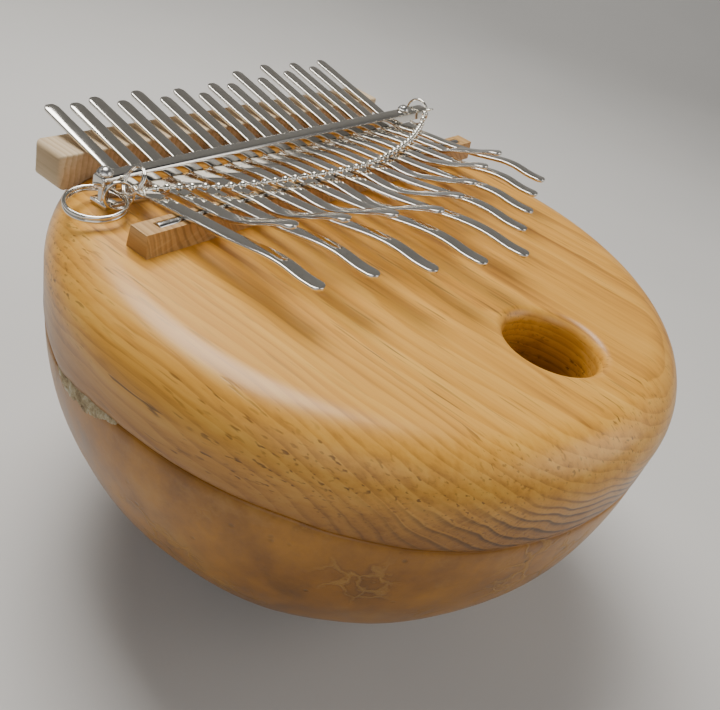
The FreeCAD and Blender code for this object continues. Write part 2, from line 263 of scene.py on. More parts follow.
def gourd_material():
    w = Mat("gourd_skin")
    x, y, z = w.sep()[:3]
    big = w.noise(w.mapping(scale=(16, 16, 20)), 1.0, 3, 0.55)
    med = w.noise(w.mapping(scale=(70, 70, 60), loc=(2, 1, 0)), 1.0, 5, 0.65)
    fine = w.noise(w.mapping(scale=(340, 340, 340)), 1.0, 3, 0.6)
    v = w.math("ADD", w.math("MULTIPLY", big, 0.55), w.math("MULTIPLY", med, 0.45))
    col = w.ramp(v, [(0.30, srgb(86, 50, 4)), (0.45, srgb(144, 92, 8)), (0.58, srgb(174, 116, 16)), (0.75, srgb(196, 142, 46))])
    # pale tan patches
    pale = w.ramp(w.noise(w.mapping(scale=(34, 34, 40), loc=(8, 3, 5)), 1.0, 5, 0.7), [(0.56, 0.0), (0.68, 1.0)])
    col = w.mix(w.math("MULTIPLY", pale, 0.32), col, srgb(184, 138, 66))
    # vein-like scars: thin lines of a warped cell pattern, only here and there
    warp = w.mapping(scale=(1, 1, 1))
    wn = w.t.nodes.new("ShaderNodeTexNoise")
    w.link(warp, wn.inputs["Vector"])
    wn.inputs["Scale"].default_value = 110.0
    wn.inputs["Detail"].default_value = 5.0
    add = w.t.nodes.new("ShaderNodeVectorMath")
    add.operation = "MULTIPLY_ADD"
    w.link(wn.outputs["Color"], add.inputs[0])
    add.inputs[1].default_value = (0.016, 0.016, 0.016)
    w.link(w.co, add.inputs[2])
    cell = w.voronoi(add.outputs[0], 88.0, "DISTANCE_TO_EDGE")
    line = w.ramp(cell, [(0.0, 0.9), (0.03, 0.55), (0.08, 0.0)])
    gate = w.ramp(w.noise(w.mapping(scale=(24, 24, 24), loc=(1, 7, 3)), 1.0, 2, 0.5), [(0.52, 0.0), (0.60, 1.0)])
    scar = w.math("MULTIPLY", line, gate)
    col = w.mix(w.math("MULTIPLY", scar, 0.50), col, srgb(178, 142, 80))
    halo = w.math("MULTIPLY", w.ramp(cell, [(0.05, 0.0), (0.09, 0.6), (0.16, 0.0)]), gate)
    col = w.mix(w.math("MULTIPLY", halo, 0.5), col, srgb(66, 38, 6))
    # dark and olive specks
    sp = w.ramp(w.voronoi(w.mapping(scale=(1, 1, 1), loc=(0.3, 0.1, 0.7)), 150.0), [(0.05, 1.0), (0.15, 0.0)])
    sg = w.ramp(w.noise(w.mapping(scale=(40, 40, 40), loc=(5, 5, 1)), 1.0, 2, 0.5), [(0.50, 0.0), (0.62, 1.0)])
    specks = w.math("MULTIPLY", sp, sg)
    col = w.mix(w.math("MULTIPLY", specks, 0.7), col, srgb(70, 52, 20))
    # painted shade: darker towards the foot, where the bowl turns under and faces the floor
    g = w.ramp(w.math("DIVIDE", z, 0.09, clamp=True), [(0.0, 0.52), (0.6, 0.9), (1.0, 1.0)])
    col = w.mix(1.0, col, g, mode="MULTIPLY")
    h = w.math("ADD", w.math("MULTIPLY", med, 0.5), w.math("MULTIPLY", fine, 0.12))
    h = w.math("ADD", h, w.math("MULTIPLY", scar, 0.6))
    h = w.math("SUBTRACT", h, w.math("MULTIPLY", specks, 0.7))
    r = w.math("MULTIPLY_ADD", med, 0.22, 0.28)
    r = w.math("ADD", r, w.math("MULTIPLY", scar, 0.25))
    return w.out(color=col, rough=r, normal=w.bump(h, 0.5, 0.0006), coat=0.25, coat_rough=0.3, spec=0.45)


def pulp_material():
    w = Mat("gourd_inside")
    a = w.noise(w.mapping(scale=(130, 130, 130)), 1.0, 5, 0.7)
    col = w.ramp(a, [(0.35, srgb(150, 118, 74)), (0.7, srgb(196, 168, 120))])
    return w.out(color=col, rough=w.math("MULTIPLY_ADD", a, 0.2, 0.7), normal=w.bump(a, 0.6, 0.0006))


def filler_material():
    w = Mat("seam_filler")
    a = w.noise(w.mapping(scale=(260, 260, 260)), 1.0, 5, 0.7)
    b = w.voronoi(w.mapping(), 700.0)
    col = w.ramp(a, [(0.34, srgb(120, 96, 62)), (0.5, srgb(178, 160, 122)), (0.66, srgb(212, 204, 180))])
    return w.out(color=col, rough=0.75, normal=w.bump(w.math("ADD", a, b), 0.9, 0.0006))


# the board's shade argument is painted shade on its side, from the seam up to just under the rounded top edge
M_BOARD = wood("oak_board", srgb(236, 182, 84), srgb(214, 152, 56), srgb(134, 80, 22), pith=(0.030, H + 0.115), ring=0.0030, endgrain=0.95,
               pore=0.85, coat=0.20, rough=0.40, shade=(H - 0.032, H - 0.006, (0.34, 0.26, 0.17)), figure=0.17, end_z=H - 0.010)
M_BACK = wood("bridge_pale", srgb(226, 205, 172), srgb(205, 180, 142), srgb(172, 142, 104), pith=(0.3, H - 0.05), ring=0.0022, fine=1.4, coat=0.0,
              rough=0.55, pore=0.25, endgrain=0.0)
M_FRONT = wood("bridge_tan", srgb(218, 180, 120), srgb(192, 148, 86), srgb(142, 100, 52), pith=(0.2, H + 0.1), ring=0.0026, fine=1.3, coat=0.15,
               rough=0.45, pore=0.5, endgrain=0.35)
M_GOURD = gourd_material()
M_PULP = pulp_material()
M_FILL = filler_material()
NICKEL = srgb(226, 222, 214)
M_TINE = metal("tine_nickel", NICKEL, rough=0.045, scratch=0.10, smear=0.07, wave=0.16, brush=(900, 50, 900))
M_BAR = metal("bar_nickel", NICKEL, rough=0.06, scratch=0.12, smear=0.08, wave=0.05)
M_RING = metal("ring_nickel", srgb(232, 228, 218), rough=0.05, scratch=0.08, smear=0.08, brush=(400, 400, 400))
M_CHAIN = metal("chain_nickel", srgb(236, 232, 220), rough=0.05, scratch=0.06, smear=0.06, brush=(500, 500, 500))
M_STEEL = metal("rod_steel", srgb(214, 212, 208), rough=0.16, scratch=0.3, smear=0.14, brush=(60, 900, 900))

# =============================================================== mesh helpers


def new_mesh(name, verts, faces, mat=None, smooth=True, mats=None, mat_index=None):
    me = bpy.data.meshes.new(name)
    me.from_pydata([tuple(map(float, v)) for v in verts], [], faces)
    me.validate()
    ob = bpy.data.objects.new(name, me)
    bpy.context.scene.collection.objects.link(ob)
    for m in (mats or [mat]):
        if m is not None:
            me.materials.append(m)
    if mat_index is not None:
        me.polygons.foreach_set("material_index", mat_index)
    if smooth:
        me.polygons.foreach_set("use_smooth", [True] * len(me.polygons))
    fix_normals(ob)
    return ob


def fix_normals(ob):
    import bmesh
    bm = bmesh.new()
    bm.from_mesh(ob.data)
    bmesh.ops.recalc_face_normals(bm, faces=bm.faces)
    bm.to_mesh(ob.data)
    bm.free()


def grid_faces(nu, nv, wrap_u=False, wrap_v=False, base=0):
    out = []
    for i in range(nu if wrap_u else nu - 1):
        for j in range(nv if wrap_v else nv - 1):
            a = base + i * nv + j
            b = base + ((i + 1) % nu) * nv + j
            c = base + ((i + 1) % nu) * nv + (j + 1) % nv
            d = base + i * nv + (j + 1) % nv
            out.append((a, b, c, d))
    return out


def join(objs, name):
    bpy.ops.object.select_all(action="DESELECT")
    for o in objs:
        o.select_set(True)
    bpy.context.view_layer.objects.active = objs[0]
    bpy.ops.object.join()
    o = bpy.context.view_layer.objects.active
    o.name = name
    o.data.name = name
    return o


def apply_mods(ob):
    dg = bpy.context.evaluated_depsgraph_get()
    me = bpy.data.meshes.new_from_object(ob.evaluated_get(dg))
    ob.modifiers.clear()
    ob.data = me
    return ob


def cubic(xs, ys, n):
    # the same natural-looking curve through points, by chord length
    xs, ys = np.array(xs, float), np.array(ys, float)
    s = np.concatenate([[0], np.cumsum(np.hypot(np.diff(xs), np.diff(ys)))])
    t = np.linspace(0, s[-1], n)

    def spline(v):
        k = len(s)
        h = np.diff(s)
        A = np.zeros((k, k))
        r = np.zeros(k)
        A[0, 0] = A[-1, -1] = 1
        for i in range(1, k - 1):
            A[i, i - 1], A[i, i], A[i, i + 1] = h[i - 1], 2 * (h[i - 1] + h[i]), h[i]
            r[i] = 6 * ((v[i + 1] - v[i]) / h[i] - (v[i] - v[i - 1]) / h[i - 1])
        m = np.linalg.solve(A, r)
        j = np.clip(np.searchsorted(s, t, side="right") - 1, 0, k - 2)
        a, b = s[j + 1] - t, t - s[j]
        return (m[j] * a ** 3 + m[j + 1] * b ** 3) / (6 * h[j]) + (v[j] / h[j] - m[j] * h[j] / 6) * a + (v[j + 1] / h[j] - m[j + 1] * h[j] / 6) * b
    return spline(xs), spline(ys), t, s[-1]


# =============================================================== body: board and gourd
R_BODY = 0.1034
EDGE_R = 0.016
SEAM = [(0, -30.4), (60, -31.5), (110, -32.6), (135, -33.2), (151.0, -33.3), (160.8, -33.9), (167.1, -31.4), (171.7, -29.5), (178.1, -28.0), (183.4, -27.4),
        (194.1, -27.6), (206.2, -27.5), (214.7, -28.4), (227.9, -29.6), (235.7, -29.8), (246.3, -29.5), (257.7, -29.4), (290, -29.4), (330, -29.9), (360, -30.4)]


def seam(theta):
    a = math.degrees(theta) % 360
    for (a0, z0), (a1, z1) in zip(SEAM[:-1], SEAM[1:]):
        if a0 <= a <= a1:
            t = (a - a0) / (a1 - a0)
            t = t * t * (3 - 2 * t)
            z = z0 + (z1 - z0) * t
            break
    z += 0.25 * noise.noise(Vector((math.cos(theta) * 6, math.sin(theta) * 6, 1.3)))
    return H + z * MM


def outer_r(z):
    u = min(1.0, max(0.0, (0.093 - z) / 0.093))
    return 0.1026 * (1 - u ** 2) ** (1 / 2.27)


def lathe(name, prof_fn, n_theta, mats, mat_index_fn=None, closed=True):
    verts = []
    m = None
    for i in range(n_theta):
        th = 2 * math.pi * i / n_theta
        p = prof_fn(th)
        m = len(p)
        for r, z in p:
            verts.append((r * math.cos(th), r * math.sin(th), z))
    faces = grid_faces(n_theta, m, wrap_u=True)
    mi = []
    for i in range(n_theta):
        for j in range(m - 1):
            mi.append(mat_index_fn(j) if mat_index_fn else 0)
    # caps at the axis
    a = len(verts)
    p0, p1 = prof_fn(0.0)[0], prof_fn(0.0)[-1]
    verts.append((0, 0, p0[1]))
    verts.append((0, 0, p1[1]))
    for i in range(n_theta):
        j = (i + 1) % n_theta
        faces.append((a, j * m, i * m))
        mi.append(mat_index_fn(0) if mat_index_fn else 0)
        faces.append((a + 1, i * m + m - 1, j * m + m - 1))
        mi.append(mat_index_fn(m - 2) if mat_index_fn else 0)
    return new_mesh(name, verts, faces, mats=mats, mat_index=mi)


def board_profile(th):
    zs = seam(th)
    p = [(0.004, H), (0.03, H), (0.06, H), (0.080, H)]
    for k in range(0, 15):
        a = math.pi / 2 * k / 14
        p.append((R_BODY - EDGE_R + EDGE_R * math.sin(a), H - EDGE_R + EDGE_R * math.cos(a)))
    zb = H - EDGE_R
    wob = 0.00022 * noise.noise(Vector((math.cos(th) * 4, math.sin(th) * 4, 0.4)))
    for k in range(1, 9):
        t = k / 9
        z = zb + (zs + 0.0007 - zb) * t
        p.append((R_BODY - 0.0006 * t + wob * t, z))
    p.append((R_BODY - 0.0009 + wob, zs + 0.0003))
    p.append((R_BODY - 0.0015, zs + 0.00004))
    p.append((R_BODY - 0.007, zs + 0.00004))
    p.append((R_BODY - 0.013, zs + 0.00004))
    p.append((R_BODY - 0.013, H - 0.023))
    p.append((0.004, H - 0.023))
    return p


board = lathe("board_visual", board_profile, 256, [M_BOARD])


def lathe_cutter(name, prof, n, center):
    verts, faces = [], []
    m = len(prof)
    for i in range(n):
        th = 2 * math.pi * i / n
        for r, z in prof:
            verts.append((center[0] + r * math.cos(th), center[1] + r * math.sin(th), z))
    faces = grid_faces(n, m, wrap_u=True)
    faces.append(tuple(i * m for i in range(n)))
    faces.append(tuple(i * m + m - 1 for i in reversed(range(n))))
    return new_mesh(name, verts, faces)


def box_mesh(name, lo, hi):
    v = [(x, y, z) for x in (lo[0], hi[0]) for y in (lo[1], hi[1]) for z in (lo[2], hi[2])]
    f = [(0, 1, 3, 2), (4, 6, 7, 5), (0, 4, 5, 1), (2, 3, 7, 6), (0, 2, 6, 4), (1, 5, 7, 3)]
    return new_mesh(name, v, f, smooth=False)


def cut(ob, tool):
    md = ob.modifiers.new("cut", "BOOLEAN")
    md.operation = "DIFFERENCE"
    md.solver = "EXACT"
    md.object = tool
    apply_mods(ob)
    bpy.data.objects.remove(tool)


HX, HY = 0.0015, -0.063
fl, hr = 0.0042, 0.015
prof = [(hr + 0.0004, H - 0.05), (hr, H - 0.020), (hr, H - 0.012), (hr, H - fl)]
for k in range(1, 11):
    a = math.pi / 2 * k / 10
    prof.append((hr + fl * (1 - math.cos(a)) * 0.86, H - fl + fl * math.sin(a)))
prof[-1] = (hr + fl * 0.86, H + 0.00001)
prof.append((hr + fl * 0.86, H + 0.01))
cut(board, lathe_cutter("hole_tool", prof, 128, (HX, HY)))
cut(board, box_mesh("trench_tool", (-0.12, Y0 + 0.0089, H - 0.004), (0.13, Y0 + 0.0219, H + 0.02)))
board.data.polygons.foreach_set("use_smooth", [True] * len(board.data.polygons))
for md in list(board.modifiers):
    board.modifiers.remove(md)
bpy.context.view_layer.objects.active = board
board.select_set(True)
bpy.ops.object.shade_auto_smooth(angle=math.radians(32))
board.select_set(False)
apply_mods(board)
wn = board.modifiers.new("wn", "WEIGHTED_NORMAL")
wn.keep_sharp = True
wn.weight = 60


def gourd_profile(th):
    zs = seam(th) - 0.00004
    bump = 0.0006 * (noise.noise(Vector((math.cos(th) * 2.0, math.sin(th) * 2.0, 5.0))) - 0.3)
    pts = []
    n = 46
    wall = 0.006
    r_top = outer_r(zs)
    pts.append((r_top - wall, zs))
    pts.append((r_top - 0.0016, zs))
    pts.append((r_top - 0.0005, zs - 0.0003))
    for k in range(0, n + 1):
        t = k / n
        a = math.pi / 2 * t
        z = 0.0011 + (zs - 0.0021) * (1 - math.sin(a)) ** 0.9
        r = outer_r(z)
        f = math.sin(math.pi * min(1, t * 1.1)) if t < 0.9 else 0.0
        wz = 0.0007 * (noise.noise(Vector((math.cos(th) * 3, math.sin(th) * 3, z * 30))) - 0.35) * f
        pts.append((r + wz, z))
    pts.append((0.0188, 0.0003))
    pts.append((0.018, 0.0))
    pts.append((0.006, 0.0))
    return pts


def gourd_inner(th):
    zs = seam(th) - 0.00004
    out = []
    n = 30
    for k in range(0, n + 1):
        t = k / n
        z = 0.006 + (zs - 0.006) * t
        r = outer_r(max(0.0, (z - 0.006) * 1.069)) - 0.006
        out.append((max(0.004, r), z))
    return out


def gourd_mesh():
    n_t = 256
    verts, faces, mi = [], [], []
    ring_len = None
    for i in range(n_t):
        th = 2 * math.pi * i / n_t
        o = gourd_profile(th)
        inn = gourd_inner(th)
        inn[-1] = o[0]
        loop = inn + o[1:]
        ring_len = len(loop)
        k_in = len(inn)
        for r, z in loop:
            verts.append((r * math.cos(th), r * math.sin(th), z))
    faces = grid_faces(n_t, ring_len, wrap_u=True)
    for i in range(n_t):
        for j in range(ring_len - 1):
            mi.append(1 if j < k_in else 0)
    a = len(verts)
    verts += [(0, 0, 0.006), (0, 0, 0.0)]
    for i in range(n_t):
        j = (i + 1) % n_t
        faces.append((a, j * ring_len, i * ring_len))
        mi.append(1)
        faces.append((a + 1, i * ring_len + ring_len - 1, j * ring_len + ring_len - 1))
        mi.append(0)
    return new_mesh("gourd_visual", verts, faces, mats=[M_GOURD, M_PULP], mat_index=mi)


gourd = gourd_mesh()


# crumbly filler where the gourd's rim was chipped, on the left side of the seam
def filler():
    verts, faces = [], []
    n_a, n_b = 90, 26
    a0, a1 = math.radians(160.0), math.radians(178.5)
    for i in range(n_a):
        t = i / (n_a - 1)
        th = a0 + (a1 - a0) * t
        env = math.sin(math.pi * t) ** 0.5
        zs = seam(th)
        for j in range(n_b):
            s = j / (n_b - 1)
            wob = noise.noise(Vector((th * 60, s * 3.0, 0.3)))
            hgt = (0.0035 + 0.0030 * noise.noise(Vector((th * 22, 0.2, 0.9)))) * env + 0.0004
            z = zs + 0.0006 - hgt * 1.5 * s
            lump = 0.00050 * math.sin(math.pi * s) ** 0.6 * env * (1 + 1.2 * noise.noise(Vector((th * 130, z * 1400, 2.0))))
            r = outer_r(z) + lump * (0.6 + wob * 0.3) - 0.0006 * (1 - math.sin(math.pi * s) ** 0.4)
            verts.append((r * math.cos(th), r * math.sin(th), z))
    f = grid_faces(n_a, n_b)
    base = len(verts)
    for i in range(n_a):
        for j in range(n_b):
            x, y, z = verts[i * n_b + j]
            th = math.atan2(y, x)
            r = math.hypot(x, y) - 0.0014
            verts.append((r * math.cos(th), r * math.sin(th), z))
    f += grid_faces(n_a, n_b, base=base)
    for i in range(n_a - 1):
        f.append((i * n_b, (i + 1) * n_b, base + (i + 1) * n_b, base + i * n_b))
        f.append((i * n_b + n_b - 1, (i + 1) * n_b + n_b - 1, base + (i + 1) * n_b + n_b - 1, base + i * n_b + n_b - 1))
    for j in range(n_b - 1):
        f.append((j, j + 1, base + j + 1, base + j))
        k = (n_a - 1) * n_b
        f.append((k + j, k + j + 1, base + k + j + 1, base + k + j))
    return new_mesh("seam_filler", verts, f, mat=M_FILL)


fill = filler()

# =============================================================== bridges


def block(name, lo, hi, mat, bev, end_round=None, seg=4):
    ob = box_mesh(name, lo, hi)
    if end_round:
        import bmesh
        bm = bmesh.new()
        bm.from_mesh(ob.data)
        es = [e for e in bm.edges if abs(e.verts[0].co.x - e.verts[1].co.x) < 1e-7]
        bmesh.ops.bevel(bm, geom=es, offset=end_round, segments=8, profile=0.5, affect="EDGES")
        bm.to_mesh(ob.data)
        bm.free()
    md = ob.modifiers.new("b", "BEVEL")
    md.width = bev
    md.segments = seg
    md.limit_method = "ANGLE"
    md.angle_limit = math.radians(40)
    apply_mods(ob)
    ob.data.materials.clear()
    ob.data.materials.append(mat)
    ob.data.polygons.foreach_set("use_smooth", [True] * len(ob.data.polygons))
    w_ = ob.modifiers.new("wn", "WEIGHTED_NORMAL")
    w_.weight = 60
    return ob


back = block("back_bridge_visual", (ARR_X - 0.079, Y0 + 0.0089, H - 0.004), (ARR_X + 0.079, Y0 + 0.0219, H + 0.0073), M_BACK, 0.0006, end_round=0.0022)


def front_bridge():
    y0, y1 = Y0 - 0.0372, Y0 - 0.0288
    yc = Y0 - 0.033
    r = 0.00152
    zc, zt = H + 0.00584, H + 0.0069
    sec_g = [(y1, H), (y1 - 0.0009, zt), (yc + r, zt)]
    for k in range(0, 13):
        a = math.pi * k / 12
        sec_g.append((yc + r * math.cos(a), zc - r * math.sin(a)))
    sec_g += [(yc - r, zt), (y0 + 0.0009, zt), (y0, H)]
    full = [(y1, H), (y1 - 0.0009, zt)] + [(yc + r - 2 * r * k / 14, zt) for k in range(0, 15)] + [(y0 + 0.0009, zt), (y0, H)]
    xs0, xs1 = ARR_X - 0.085, ARR_X + 0.085
    g0, g1 = xs0 + 0.006, xs1 - 0.006
    secs = [(xs0, full), (g0, full), (g0 + 0.00001, sec_g), (g1 - 0.00001, sec_g), (g1, full), (xs1, full)]
    n = len(full)
    assert n == len(sec_g), (n, len(sec_g))
    verts, faces = [], []
    for x, s in secs:
        verts += [(x, y, z) for y, z in s]
    for i in range(len(secs) - 1):
        for j in range(n):
            a, b = i * n + j, i * n + (j + 1) % n
            faces.append((a, b, b + n, a + n))
    faces.append(tuple(range(n)))
    k = (len(secs) - 1) * n
    faces.append(tuple(reversed(range(k, k + n))))
    ob = new_mesh("front_bridge_visual", verts, faces, mat=M_FRONT)
    md = ob.modifiers.new("b", "BEVEL")
    md.width = 0.0005
    md.segments = 3
    md.limit_method = "ANGLE"
    md.angle_limit = math.radians(50)
    apply_mods(ob)
    ob.data.polygons.foreach_set("use_smooth", [True] * len(ob.data.polygons))
    w_ = ob.modifiers.new("wn", "WEIGHTED_NORMAL")
    w_.weight = 60
    return ob


front = front_bridge()


# =============================================================== metal bars, rod, screws


def sweep_x(name, x0, x1, sec, mat, r_end=0.0004, n_end=4):
    """A bar along X with a softly closed end; sec lists (y, z) round the middle (yc, zc)."""
    yc = sum(p[0] for p in sec) / len(sec)
    zc = sum(p[1] for p in sec) / len(sec)
    rows = []
    for k in range(n_end + 1):
        a = math.pi / 2 * k / n_end
        rows.append((x0 + r_end * (1 - math.sin(a)), r_end * (1 - math.cos(a)) if False else r_end * (1 - math.sin(a)) ** 0 * (1 - math.sin(a))))
    rows = [(x0 + r_end * (1 - math.cos(math.pi / 2 * k / n_end)), r_end * (1 - math.sin(math.pi / 2 * k / n_end))) for k in range(n_end + 1)]
    mids = [(x0 + (x1 - x0) * t, 0.0) for t in np.linspace(0.02, 0.98, 40)]
    tail = [(x1 - (x - x0), s) for x, s in reversed(rows)]
    allrows = rows + mids + tail
    verts = []
    for x, s in allrows:
        for y, z in sec:
            dy, dz = y - yc, z - zc
            d = math.hypot(dy, dz)
            verts.append((x, yc + dy * (d - s) / d, zc + dz * (d - s) / d))
    n = len(sec)
    faces = []
    for i in range(len(allrows) - 1):
        for j in range(n):
            a, b = i * n + j, i * n + (j + 1) % n
            faces.append((a, b, b + n, a + n))
    faces.append(tuple(range(n)))
    k = (len(allrows) - 1) * n
    faces.append(tuple(reversed(range(k, k + n))))
    return new_mesh(name, verts, faces, mat=mat)


def rr(y0, y1, z0, z1, rt, rb, n=6):
    """rounded rectangle section in (y, z): rt top radius, rb bottom radius"""
    out = []
    for cy, cz, r, a0 in ((y1 - rt, z1 - rt, rt, 0), (y0 + rt, z1 - rt, rt, 90), (y0 + rb, z0 + rb, rb, 180), (y1 - rb, z0 + rb, rb, 270)):
        for k in range(n + 1):
            a = math.radians(a0 + 90 * k / n)
            out.append((cy + r * math.cos(a), cz + r * math.sin(a)))
    return out


bar = sweep_x("pressure_bar_visual", -0.0708, 0.0960, rr(Y0 - 0.0106, Y0 - 0.0056, H + 0.00576, H + 0.0100, 0.0014, 0.0004), M_BAR, 0.0007)
low = sweep_x("lower_bar_visual", -0.0702, 0.0954, rr(Y0 - 0.0116, Y0 - 0.0044, H, H + 0.0016, 0.0006, 0.0002), M_BAR, 0.0005)
rod_sec = [((Y0 - 0.033) + 0.0015 * math.cos(2 * math.pi * k / 24), H + 0.00584 + 0.0015 * math.sin(2 * math.pi * k / 24)) for k in range(24)]
rod = sweep_x("bridge_rod_visual", ARR_X - 0.0785, ARR_X + 0.0785, rod_sec, M_STEEL, 0.0003)

sx = (-0.0684, 0.0813)
SY = Y0 - 0.0081
parts_s, parts_w = [], []
for cx in sx:
    zt = H + 0.0106
    # domed slotted head and shank
    p = [(0.0015, H - 0.018), (0.0015, zt), (0.0023, zt + 0.00002)]
    hr_, hh = 0.0023, 0.0015
    Rr = (hr_ ** 2 + hh ** 2) / (2 * hh)
    for k in range(1, 11):
        a = math.asin(hr_ / Rr) * (1 - k / 10)
        p.append((max(1e-5, Rr * math.sin(a)), zt + hh - Rr + Rr * math.cos(a)))
    verts, m = [], len(p)
    n = 40
    for i in range(n):
        th = 2 * math.pi * i / n
        for r, z in p:
            verts.append((cx + r * math.cos(th), SY + r * math.sin(th), z))
    faces = grid_faces(n, m, wrap_u=True)
    faces.append(tuple(i * m for i in range(n)))
    faces.append(tuple(i * m + m - 1 for i in reversed(range(n))))
    s_ = new_mesh("screw_a", verts, faces, mat=M_STEEL)
    tool = box_mesh("slot_tool", (cx - 0.004, SY - 0.00035, zt + 0.0008), (cx + 0.004, SY + 0.00035, zt + 0.01))
    cut(s_, tool)
    parts_s.append(s_)
    q = [(0.0016, H + 0.0100), (0.0023, H + 0.0100), (0.00245, H + 0.01015), (0.00245, H + 0.01045), (0.0023, H + 0.0106), (0.0016, H + 0.0106)]
    verts = []
    for i in range(n):
        th = 2 * math.pi * i / n
        for r, z in q:
            verts.append((cx + r * math.cos(th), SY + r * math.sin(th), z))
    parts_w.append(new_mesh("washer_a", verts, grid_faces(n, len(q), wrap_u=True, wrap_v=True), mat=M_RING))
screws = join(parts_s, "clamp_screws_visual")
for o in (screws,):
    bpy.context.view_layer.objects.active = o
    o.select_set(True)
    bpy.ops.object.shade_auto_smooth(angle=math.radians(35))
    o.select_set(False)
    apply_mods(o)
washers = join(parts_w, "clamp_washers_visual")

# =============================================================== tines
BACK_LEN = [30.8, 29.9, 31.5, 28.0, 31.9, 27.0, 30.1, 26.2, 30.6, 29.1, 35.5, 30.0, 37.3, 31.9, 36.3, 32.6, 36.0]
TIP_Y = [-83.3, -64.4, -88.0, -69.2, -96.1, -74.1, -102.3, -79.6, -106.9, -76.2, -97.2, -71.6, -90.8, -65.6, -83.6, -61.3, -78.0]
TIP_H = [12.9, 19.0, 14.0, 19.3, 15.2, 19.3, 16.2, 19.4, 16.6, 18.8, 15.8, 18.0, 14.9, 18.0, 14.1, 18.2, 13.6]
T_BAR, T_ROD = 5.7, 8.5


def tine_profile(i):
    k = (T_ROD - T_BAR) / 25.0
    yb = BACK_LEN[i]
    pts = [(yb, 6.9 + 0.2 * yb), (18.0, 6.9 + 0.2 * 18.0), (8.0, 6.9 + 0.2 * 8.0), (0.0, 6.85), (-5.6, T_BAR + 0.05), (-8.1, T_BAR),
           (-10.6, T_BAR + 0.04), (-18.0, T_BAR + k * 9.9), (-32.0, T_ROD - 0.05), (-36.0, T_ROD + 0.4)]
    y, h = TIP_Y[i], TIP_H[i]
    if i % 2 == 0:
        ya, ha = y + 12.0, h + 0.15
        mid = (-36.0 + ya) / 2
        pts += [(mid, (T_ROD + 0.4 + ha) / 2), (ya, ha), (y + 7.5, h - 0.25), (y, h)]
    else:
        pts += [(min(y + 25.5, -39.0), 9.2), (y + 19.3, 10.8), (y + 9.0, h - 3.3), (y + 3.0, h - 0.7), (y, h)]
    return pts


def tine_mesh(i):
    pts = tine_profile(i)
    ys, hs, t, L = cubic([p[0] for p in pts], [p[1] for p in pts], 170)
    # extra rows close to both ends so that the rounded outline is smooth
    xc = (ARR_X + (i - 8) * PITCH) * 1000
    W, T = 5.0, 1.2
    r = W / 2
    ts = np.concatenate([r * (1 - np.cos(np.linspace(0, math.pi / 2, 14))), np.linspace(r, L - r, 130)[1:-1], L - r * (1 - np.cos(np.linspace(math.pi / 2, 0, 14)))])
    Y = np.interp(ts, t, ys)
    Z = np.interp(ts, t, hs)
    dY, dZ = np.gradient(Y, ts, edge_order=2), np.gradient(Z, ts, edge_order=2)
    for a in range(3):
        Y[1:-1] = Y[1:-1]
    verts = []
    ncs = 0
    rnd = np.random.RandomState(400 + i)
    yaw = rnd.uniform(-0.004, 0.004)
    for k, s in enumerate(ts):
        e = min(s, L - s)
        w = r if e >= r else math.sqrt(max(0.0, r * r - (r - e) ** 2))
        w = max(w, 0.05)
        th = T if e > 0.35 else T * (0.55 + 0.45 * e / 0.35)
        ln = math.hypot(dY[k], dZ[k])
        ny, nz = -dZ[k] / ln, dY[k] / ln
        if nz < 0:
            ny, nz = -ny, -nz
        # the section: slightly crowned top with soft edges
        sec = []
        er = min(0.42, w * 0.8)
        m = 5
        for sx_, sz_, a0 in ((1, 1, 0), (-1, 1, 90), (-1, -1, 180), (1, -1, 270)):
            for q in range(m + 1):
                a = math.radians(a0 + 90 * q / m)
                sec.append((sx_ * (w - er) + er * math.cos(a), sz_ * (th / 2 - min(er, th / 2)) + min(er, th / 2) * math.sin(a)))
        ncs = len(sec)
        c = (xc + yaw * (Y[k] + 20), Y[k] - ny * T / 2, Z[k] - nz * T / 2)
        for u, v in sec:
            verts.append(((c[0] + u) * MM, Y0 + (c[1] + ny * v) * MM, H + (c[2] + nz * v) * MM))
    n = len(ts)
    faces = []
    for a in range(n - 1):
        for b in range(ncs):
            p, q = a * ncs + b, a * ncs + (b + 1) % ncs
            faces.append((p, q, q + ncs, p + ncs))
    faces.append(tuple(range(ncs)))
    faces.append(tuple(reversed(range((n - 1) * ncs, n * ncs))))
    return new_mesh("tine_%02d" % (i + 1), verts, faces, mat=M_TINE)


tines = [tine_mesh(i) for i in range(17)]

# =============================================================== rings and chain


def tube(name, pts, rad, mat, n=12, closed=False):
    """Round wire through points (metres)."""
    P = np.array(pts, float)
    k = len(P)
    if closed:
        T = np.roll(P, -1, 0) - np.roll(P, 1, 0)
    else:
        T = np.gradient(P, axis=0)
    T /= np.linalg.norm(T, axis=1)[:, None]
    up = np.array([0.0, 0.0, 1.0]) if abs(T[0][2]) < 0.9 else np.array([1.0, 0.0, 0.0])
    N = [up - T[0] * (up @ T[0])]
    N[0] /= np.linalg.norm(N[0])
    for a in range(1, k):
        v = N[-1] - T[a] * (N[-1] @ T[a])
        N.append(v / np.linalg.norm(v))
    twist = 0.0
    if closed:
        v = N[-1] - T[0] * (N[-1] @ T[0])
        v /= np.linalg.norm(v)
        B0 = np.cross(T[0], N[0])
        twist = math.atan2(v @ B0, v @ N[0])
    rads = rad if hasattr(rad, "__len__") else [rad] * k
    verts = []
    for a in range(k):
        B = np.cross(T[a], N[a])
        off = -twist * a / k
        for q in range(n):
            g = 2 * math.pi * q / n + off
            verts.append(P[a] + rads[a] * (math.cos(g) * N[a] + math.sin(g) * B))
    faces = grid_faces(k, n, wrap_u=closed, wrap_v=True)
    if not closed:
        faces.append(tuple(range(n)))
        faces.append(tuple(reversed(range((k - 1) * n, k * n))))
    return new_mesh(name, verts, faces, mat=mat)


def frame_of(nrm):
    w_ = Vector(nrm).normalized()
    u = w_.orthogonal().normalized()
    return u, w_.cross(u).normalized(), w_


